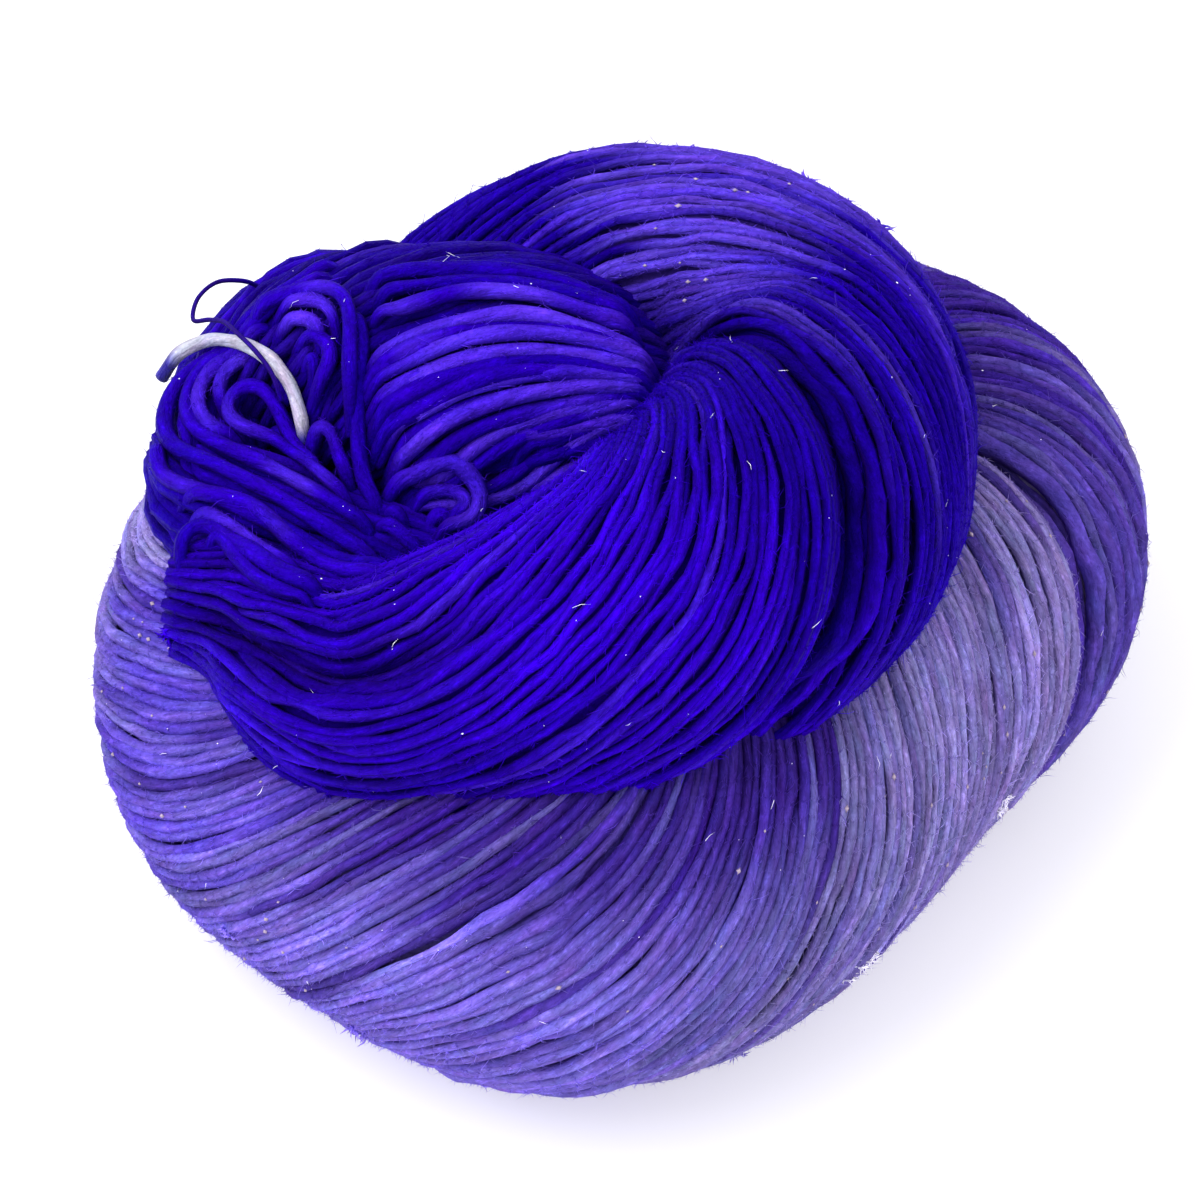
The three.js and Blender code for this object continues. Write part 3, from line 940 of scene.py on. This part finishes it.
single_layout = single_yarns(rng, plans)
single_piece = tubes("single_yarns", *single_layout)
print("highest single yarn:", round(single_layout[0][..., 2].max(), 1), "mm")

# %% [markdown]
# ## The heart of the hank
# Between the yarns one sees the buried ones, and never through. So a closed core fills each
# bundle but the pad, which is thin, and its colour, the dye darkened, is painted shade.

# %% Cores
CORE_LIGHT = 0.42  # share of the dye's light
CORE_DYE_ROW = 5.0  # row of the coil whose dye the smaller bundles' cores take
CORE_FLOOR = 1.2  # lowest point of a core, millimetres


def core_of(name, bundle, depth, sides=64, per_row=6):
    """A closed skin depth millimetres under a bundle's surface."""
    t = np.linspace(0.05, bundle.last - 0.05, int(bundle.last * per_row))[:, None]
    psi = 2 * np.pi * np.arange(sides)[None, :] / sides
    points, _ = bundle.at(t, psi, depth, CORE_FLOOR)
    steps = len(t)
    index = np.arange(steps * sides).reshape(steps, sides)
    after = np.roll(index, -1, axis=1)
    rings = np.stack([index[:-1], index[1:], after[1:], after[:-1]], axis=-1).reshape(-1, 4)
    caps = np.stack([index[0], index[-1, ::-1]])
    rows = t[:, 0] if bundle is coil else np.full(steps, CORE_DYE_ROW)
    # painted shade: a core takes the dye darkened to CORE_LIGHT
    colour = np.column_stack([table_dye(rows) * CORE_LIGHT, np.ones(steps)])
    colour = np.repeat(colour, sides, axis=0)
    maps = np.zeros((rings.size + caps.size, 2))
    return build_mesh(name, to_metres(points.reshape(-1, 3)), rings, caps, maps, colour)


cores = [
    core_of("coil_core", coil, 2.3),
    core_of("crown_core", crown, 2.0),
    core_of("fold_core", fold, 2.0),
    core_of("bights_core", bights, 2.0),
    core_of("tail_core", tail, 2.0),
]
print("cores:", len(cores))

# %% [markdown]
# ## The ties
# An undyed end of the same yarn ties the looped end, and a thin dark thread runs beside it
# with a loose loop. Both go back between the yarns, so the cords end in the hank.

# %% Ties as cords
DYED_START = (2.5, 6.0)  # millimetres from its first end over which a cord's dye gives way
DYED_END = (0.5, 3.0)  # the same from its last end
UNDYED = linear(184, 178, 204)
DARK_THREAD = linear(40, 16, 130)
CORDS = {
    "tie": dict(route=TIE_ROUTE, diameter=1.8, colour=UNDYED, wobble=0.08),
    "loose_thread": dict(route=THREAD_ROUTE, diameter=0.6, colour=DARK_THREAD, wobble=0.05),
}


def cord(rng, name, route, diameter, colour, wobble):
    """A cord along its route, with a little unevenness in its thickness. Its two ends took
    the dye of the yarns that they go between."""
    path = spline(route, np.linspace(0, len(route) - 1, 90))[None]
    run = run_of(path)
    radius = diameter / 2 * (1 + wander(rng, run, 3.0, wobble))
    facing = np.broadcast_to((0.0, 0.0, 1.0), path.shape)
    plain = smoothstep(*DYED_START, run) * smoothstep(*DYED_END, run[:, -1:] - run)
    dye = blend(np.array([*INK, 1.0]), np.array([*colour, 1.0]), plain)
    piece = tubes(name, path, facing, radius, dye, np.ones(path.shape[:2]), sides=10)
    return piece, to_metres(path[0]), run[0, -1]


cords = {}
for name, facts in CORDS.items():
    cords[name], path, length = cord(rng, name, **facts)
    print(name, round(length, 1), "mm")

# %% [markdown]
# ## Shader maths as plain expressions
# A Wire is a socket that knows arithmetic, so a pattern is written as a formula and each
# operation adds its Math node. Everything else comes from one method.

# %% The node helper
class Wire:
    """A socket with arithmetic. An expression of wires and numbers adds Math nodes."""

    def __init__(self, shade, socket):
        self.shade = shade
        self.socket = socket

    def math(self, operation, *others):
        """The result of a Math node that takes this wire first and then the others."""
        values = dict(enumerate((self, *others)))
        return self.shade.node("ShaderNodeMath", {"operation": operation}, values)

    def __add__(self, other):
        return self.math("ADD", other)

    def __sub__(self, other):
        return self.math("SUBTRACT", other)

    def __rsub__(self, other):
        return self.shade.node(
            "ShaderNodeMath", {"operation": "SUBTRACT"}, {0: other, 1: self})

    def __mul__(self, other):
        return self.math("MULTIPLY", other)

    __radd__ = __add__
    __rmul__ = __mul__


class Shade:
    """A material and the one method that adds its nodes."""

    def __init__(self, name):
        self.material = bpy.data.materials.new(name)
        self.material.use_nodes = True
        self.tree = self.material.node_tree
        self.tree.nodes.clear()

    def node(self, kind, settings=None, sockets=None, output=0):
        """A node of a kind: its settings, then its sockets' values or wires. output is the
        number or name of the socket that comes back."""
        node = self.tree.nodes.new(kind)
        for key, value in (settings or {}).items():
            setattr(node, key, value)
        for key, value in (sockets or {}).items():
            if isinstance(value, Wire):
                self.tree.links.new(value.socket, node.inputs[key])
            else:
                node.inputs[key].default_value = value
        return Wire(self, node.outputs[output])

    def finish(self, surface):
        """The material, with surface as what it shows."""
        end = self.tree.nodes.new("ShaderNodeOutputMaterial")
        self.tree.links.new(surface.socket, end.inputs["Surface"])
        return self.material


print("shader maths is ready")

# %% [markdown]
# ## The silk
# The yarn is spun from short waste fibres, so its surface is mottled: streaks along the
# yarn, patches that took the dye more violet or more blue, and a grain of pale fibres. The
# map gives the distance along the yarn and the turn round it, and a point on a slowly
# turning circle follows the fibres without a seam. The soft gloss takes the dye's colour.

# %% Silk yarn material
FIBRE_TURNS = 0.02  # turns of the fibres round the yarn for each millimetre
VIOLET_TINT = (0.2, 0.02, 1.0, 1.0)
PLAIN_TINT = (1.0, 1.0, 1.0, 1.0)


def silk(name, tint=VIOLET_TINT, roughness=0.7, sheen=0.06, gloss=0.1):
    """Spun silk. Its colour is the dye x a tone of the patches x the light of the fibres."""
    shade = Shade(name)
    dye = shade.node("ShaderNodeVertexColor", {"layer_name": "dye"})
    place = shade.node("ShaderNodeUVMap", {"uv_map": "yarn"})
    along = shade.node("ShaderNodeSeparateXYZ", {}, {0: place}, "X")
    around = shade.node("ShaderNodeSeparateXYZ", {}, {0: place}, "Y")
    angle = (around + along * FIBRE_TURNS) * (2 * math.pi)
    helix = shade.node("ShaderNodeCombineXYZ", {}, {
        0: angle.math("COSINE") * 1.4, 1: angle.math("SINE") * 1.4, 2: along * 0.35})
    lane = shade.node("ShaderNodeCombineXYZ", {}, {
        0: angle.math("COSINE") * 0.35, 1: angle.math("SINE") * 0.35, 2: along * 0.16})
    body = shade.node("ShaderNodeTexCoord", output="Object")
    fibres = shade.node("ShaderNodeTexNoise", {}, {
        "Vector": helix, "Scale": 1.0, "Detail": 4.0, "Roughness": 0.65})
    mottle = shade.node("ShaderNodeTexNoise", {}, {
        "Vector": body, "Scale": 1500.0, "Detail": 2.0, "Roughness": 0.6})
    patches = shade.node("ShaderNodeTexNoise", {}, {
        "Vector": lane, "Scale": 1.0, "Detail": 3.0, "Roughness": 0.6}, "Color")
    grain = shade.node("ShaderNodeMapRange", {}, {
        "Value": mottle * 0.3 + fibres * 0.7, "From Min": 0.56, "From Max": 0.7,
        "To Min": 0.0, "To Max": 0.5})
    light = shade.node("ShaderNodeMapRange", {}, {
        "Value": fibres * 0.75 + mottle * 0.25, "From Min": 0.34, "From Max": 0.66,
        "To Min": 0.62, "To Max": 1.4}) + grain
    tone = shade.node("ShaderNodeVectorMath", {"operation": "MULTIPLY_ADD"}, {
        0: patches, 1: (0.7, 0.7, 0.3), 2: (0.65, 0.65, 0.85)})
    toned = shade.node("ShaderNodeVectorMath", {"operation": "MULTIPLY"}, {0: dye, 1: tone})
    colour = shade.node("ShaderNodeVectorMath", {"operation": "SCALE"}, {0: toned, 3: light})
    bump = shade.node("ShaderNodeBump", {}, {
        "Strength": 0.9, "Distance": 0.001, "Height": fibres * 0.8 + mottle * 0.3})
    surface = shade.node("ShaderNodeBsdfPrincipled", {}, {
        "Base Color": colour, "Roughness": roughness, "Normal": bump,
        "Sheen Weight": sheen, "Sheen Roughness": 0.4, "Sheen Tint": tint,
        "Specular IOR Level": gloss, "Specular Tint": tint})
    return shade.finish(surface)


silk_yarn = silk("silk_yarn")
undyed_yarn = silk("undyed_yarn", PLAIN_TINT, 0.8, 0.2, 0.3)
dark_thread = silk("dark_thread")
print("materials:", silk_yarn.name, undyed_yarn.name, dark_thread.name)

# %% [markdown]
# ## Fuzz
# Loose fibre ends stand off every yarn and soften its edge. Most are short straight spikes
# of four triangles, and a few are long and bent. Undyed fibres show as white hairs, and the
# odd nep, a tangled speck of fibre, is tan or white. They all stand where a yarn shows.

# %% Where fibres stand
WHITE = linear(240, 238, 248)
TAN = linear(152, 138, 150)
TOP_LAYER = 4.0  # millimetres under the highest point that still show from above
OUTWARDS = 0.35  # least share of a facing that points away from the middle of the hank
DOWNWARDS = -0.85  # height of a unit facing below which it points straight down
CLEAR = 1.5  # millimetres above the sheet below which a place doesn't show
NEAR_DRAWS = 20000  # places drawn at random, among which the nearest to a spot are found
ROOTS_PER_PLACE = 10


def in_the_open(point, outward):
    """True where a place on a yarn shows: clear of the sheet, and either in the top layer
    or facing away from the middle of the hank and not straight down."""
    cells = np.rint(point[:, :2]).astype(int) + REACH
    on_top = point[:, 2] > skyline[cells[:, 0], cells[:, 1]] - TOP_LAYER
    away = unit(point[:, :2] - MIDDLE[:2])
    on_side = ((outward[:, :2] * away).sum(-1) > OUTWARDS) & (outward[:, 2] > DOWNWARDS)
    return (on_top | on_side) & (point[:, 2] > CLEAR)


def scatter(rng, layouts, count):
    """Random places on yarns in the open: path point, direction along, outward direction,
    radius and dye of each."""
    pools = [
        np.concatenate([layout[0].reshape(-1, 3) for layout in layouts]),
        np.concatenate([unit(np.gradient(layout[0], axis=1)).reshape(-1, 3) for layout in layouts]),
        np.concatenate([layout[1].reshape(-1, 3) for layout in layouts]),
        np.concatenate([layout[2].reshape(-1, 1) for layout in layouts]),
        np.concatenate([layout[3].reshape(-1, 4) for layout in layouts]),
    ]
    weight = np.concatenate([layout[4].ravel() for layout in layouts]) ** 2
    weight *= in_the_open(pools[0], pools[2])
    pick = rng.choice(len(weight), count, p=weight / weight.sum())
    return [pool[pick] for pool in pools]


def near(rng, layouts, spots, places):
    """Roots at the places nearest to each spot, ten to a place. A spot is a row number of
    the coil and the degrees round its section there, from the outward side upwards."""
    rows, degrees = np.transpose(spots)
    centres, _ = coil.at(rows, np.radians(degrees) - coil.turn_at(rows))
    pools = scatter(rng, layouts, NEAR_DRAWS)
    away = np.linalg.norm(pools[0][None] - centres[:, None], axis=-1)
    pick = np.repeat(np.argsort(away, axis=1)[:, :places].ravel(), ROOTS_PER_PLACE)
    return [pool[pick] for pool in pools]


skyline = heights([*looped_end, (coil, coil.last)])
print("highest yarns of the bundles:", round(skyline.max(), 1), "mm")

# %% Spikes and neps
LOWEST = 0.02  # millimetres above the sheet that a fibre stays
# painted light: loose fibres catch the light, so they are their yarn's colour made lighter
FIBRE_PAINTED_LIGHT = (1.25, 1.25, 1.1, 1.0)  # loose fibres are lighter than their yarn


def spikes(name, rng, roots, reach, width, bent, colour=None):
    """Spikes of random length up to reach on the roots, leaning along the yarn and
    outwards. A bent one turns at its middle."""
    place, along, outward, radius, dye = roots
    count = len(place)
    side = unit(np.cross(along, outward))
    lean = rng.normal(0, 0.6, (count, 1))
    out = unit(outward * np.cos(lean) + side * np.sin(lean))
    forward = along * np.where(rng.random((count, 1)) < 0.5, -1.0, 1.0)
    length = reach * (0.3 + 0.7 * rng.random((count, 1)) ** 2)
    first = unit(forward + out * (0.2 + 1.1 * rng.random((count, 1)))
                 + side * rng.normal(0, 0.5, (count, 1)))
    turned = unit(first + rng.normal(0, 0.6, (count, 3)))
    foot = place + out * radius * 0.9
    angle = 2 * np.pi * np.arange(3) / 3
    square = unit(np.cross(first, side))
    rim = side[:, None] * np.cos(angle)[:, None] + square[:, None] * np.sin(angle)[:, None]
    k = np.arange(3)
    after = (k + 1) % 3
    levels = [foot[:, None] + rim * width]
    rings = np.zeros((0, 4), int)
    tip = foot + first * length
    if bent:
        middle = foot + first * length / 2
        levels.append(middle[:, None] + rim * width * 0.8)
        rings = np.stack([k, after, after + 3, k + 3], axis=-1)
        tip = middle + turned * length / 2
    vertices = np.concatenate([*levels, tip[:, None]], axis=1)
    vertices[..., 2] = np.maximum(vertices[..., 2], LOWEST)
    each = vertices.shape[1]
    start = each * np.arange(count)[:, None, None]
    last = np.stack([k + each - 4, after + each - 4, np.full(3, each - 1)], axis=-1)
    caps = np.concatenate([last, [[2, 1, 0]]])
    colours = dye * FIBRE_PAINTED_LIGHT if colour is None else np.tile([*colour, 1.0], (count, 1))
    colours = np.repeat(colours, each, axis=0)
    rings = (rings[None] + start).reshape(-1, 4)
    caps = (caps[None] + start).reshape(-1, 3)
    maps = np.zeros((rings.size + caps.size, 2))
    return build_mesh(name, to_metres(vertices.reshape(-1, 3)), rings, caps, maps, colours)


def neps(name, rng, roots, size, colour):
    """Specks: eight-sided lumps, longer along the yarn, half sunk in it."""
    place, along, outward, radius, _ = roots
    count = len(place)
    side = unit(np.cross(along, outward))
    big = size * rng.uniform(0.5, 1.2, (count, 1))
    middle = place + outward * radius
    long, wide, tall = along * big, side * big * 0.6, outward * big * 0.5
    corners = [middle + long, middle + wide, middle - long, middle - wide,
               middle + tall, middle - tall]
    vertices = np.stack(corners, axis=1)
    k = np.arange(4)
    after = (k + 1) % 4
    top = np.stack([k, after, np.full(4, 4)], axis=-1)
    caps = np.concatenate([top, np.stack([after, k, np.full(4, 5)], axis=-1)])
    caps = (caps[None] + 6 * np.arange(count)[:, None, None]).reshape(-1, 3)
    colours = np.tile([*colour, 1.0], (6 * count, 1))
    return build_mesh(name, to_metres(vertices.reshape(-1, 3)), np.zeros((0, 4), int), caps,
                      np.zeros((caps.size, 2)), colours)


print("a bent spike has ten triangles, a straight one four and a nep eight")

# %% Lay the fuzz
# White fluff clings to the outer side of the lower turn at the front right, and dark tufts
# stand round the outline: row number of the coil and degrees round its section.
FLUFF = [(15.1, -16), (16.05, -11)]
TUFTS = [(0.15, 0), (6.7, 30), (7.1, 36), (7.7, 42), (12.6, -5), (13.3, -20), (14.6, -38)]
ON_PALE = 0.06  # red above which tan neps show on a dye

on_coil = [coil_layout]
on_top = [small["crown_yarns"], small["fold_yarns"], small["bight_yarns"], single_layout]
everywhere = on_coil + on_top
specks = scatter(rng, on_coil, 320)
on_pale = specks[4][:, 0] > ON_PALE
fuzz_pieces = [
    spikes("short_fuzz_1", rng, scatter(rng, on_coil, 44000), 1.1, 0.05, False),
    spikes("short_fuzz_2", rng, scatter(rng, on_coil, 34000), 1.8, 0.042, False),
    spikes("short_fuzz_3", rng, scatter(rng, on_top, 12000), 1.2, 0.05, False),
    spikes("long_fuzz", rng, scatter(rng, everywhere, 4500), 3.2, 0.045, True),
    spikes("white_hairs", rng, scatter(rng, everywhere, 90), 2.6, 0.05, True, WHITE),
    spikes("white_fluff", rng, near(rng, on_coil, FLUFF, 6), 2.6, 0.13, True, WHITE),
    spikes("dark_tufts", rng, near(rng, on_coil, TUFTS, 3), 2.4, 0.18, True),
    neps("tan_neps", rng, [pool[on_pale] for pool in specks], 0.46, TAN),
    neps("white_neps", rng, scatter(rng, everywhere, 20), 0.2, WHITE),
    neps("white_grains", rng, scatter(rng, everywhere, 260), 0.1, WHITE),
]
print("fuzz and specks:", len(fuzz_pieces), "pieces")

# %% [markdown]
# ## Bodies, nodes and finishes
# Every piece rides on the one body, takes the place of the CAD solid, which is hidden, and
# gets the material of its kind.

# %% Finish the pieces
FINISHES = [
    ([*coil_pieces, *small_pieces, single_piece, *cores, *fuzz_pieces],
     silk_yarn, "hank", "silk_yarn"),
    ([cords["tie"]], undyed_yarn, "tie_yarn", "undyed_yarn"),
    ([cords["loose_thread"]], dark_thread, "tie_thread", "dark_thread"),
]
for pieces, material, node, slot in FINISHES:
    for piece in pieces:
        piece.data.materials.append(material)
        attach(piece, "root")
        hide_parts(node)
triangles = sum(len(p.data.loops) - 2 * len(p.data.polygons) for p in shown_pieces())
print("triangles in all:", triangles)

# %% [markdown]
# ## The white sheet
# The hank lies on a large plain sheet. Its glow is painted light: it glows a little, so that
# it stays near white even in the hank's shadow. It belongs to the stage.

# %% The white sheet
SHEET_REACH = 2.0  # metres from the middle to each side
SHEET_COLOUR = (0.6, 0.6, 0.61, 1.0)
# painted light: the sheet glows, though it is no lamp
SHEET_PAINTED_GLOW = (0.42, 0.41, 0.45, 1.0)

floor_mesh = bpy.data.meshes.new("floor")
corners = [(x * SHEET_REACH, y * SHEET_REACH, 0) for x, y in ((-1, -1), (1, -1), (1, 1), (-1, 1))]
floor_mesh.from_pydata(corners, [], [(0, 1, 2, 3)])
floor = bpy.data.objects.new("floor", floor_mesh)
bpy.context.scene.collection.objects.link(floor)
sheet = Shade("white_sheet")
floor_mesh.materials.append(sheet.finish(sheet.node("ShaderNodeBsdfPrincipled", {}, {
    "Base Color": SHEET_COLOUR, "Roughness": 0.9,
    "Emission Color": SHEET_PAINTED_GLOW, "Emission Strength": 1.0})))
floor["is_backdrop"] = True
print("the sheet is", 2 * SHEET_REACH, "m wide")
